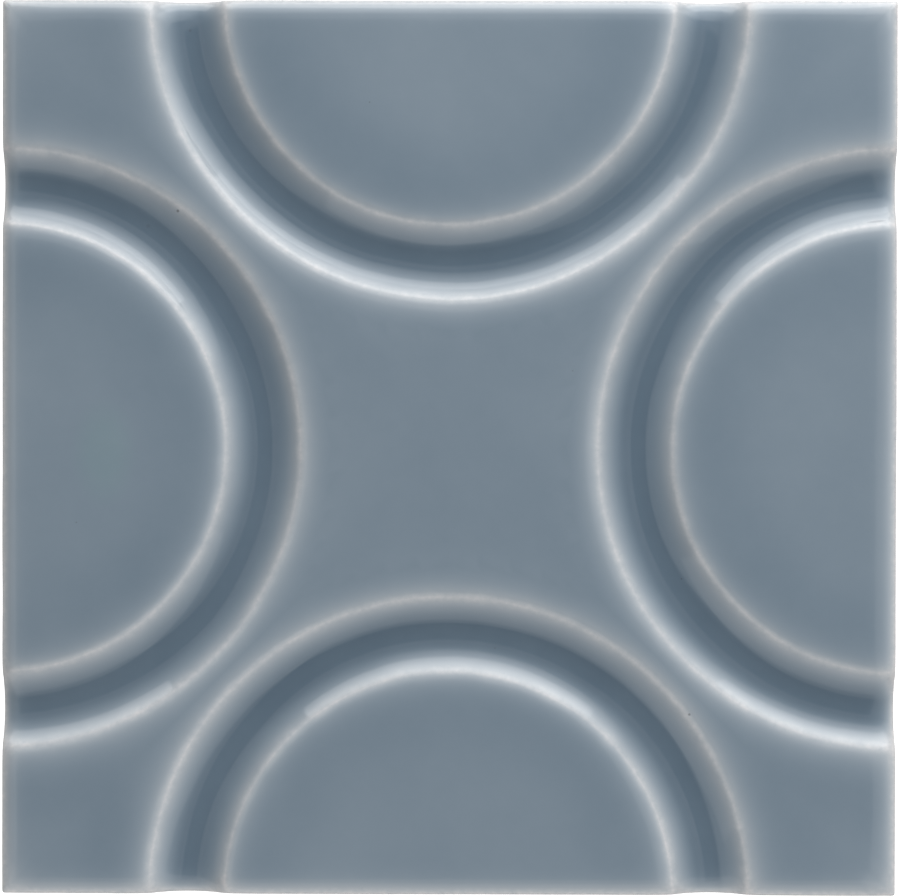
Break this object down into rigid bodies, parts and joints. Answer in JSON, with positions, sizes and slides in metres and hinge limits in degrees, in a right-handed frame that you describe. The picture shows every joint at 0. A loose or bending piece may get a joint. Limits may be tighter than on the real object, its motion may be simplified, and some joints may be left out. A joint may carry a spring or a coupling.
{
  "type": "glazed ceramic tile",
  "caption": "Square glossy blue-grey glazed ceramic wall tile with a sunken half-ring groove centred on each side, so that laid tiles form full rings.",
  "frame": {"origin": "middle of the flat back, where the tile lies on its bed", "axes": "+Z out of the glazed face, +Y towards the side that is uppermost in the picture, +X towards the side that is on the right there"},
  "size_m": [0.148, 0.148, 0.0095],
  "materials": {
    "glaze": "gloss"
  },
  "bodies": {
    "root": {"tile": "glaze"}
  },
  "joints": []
}
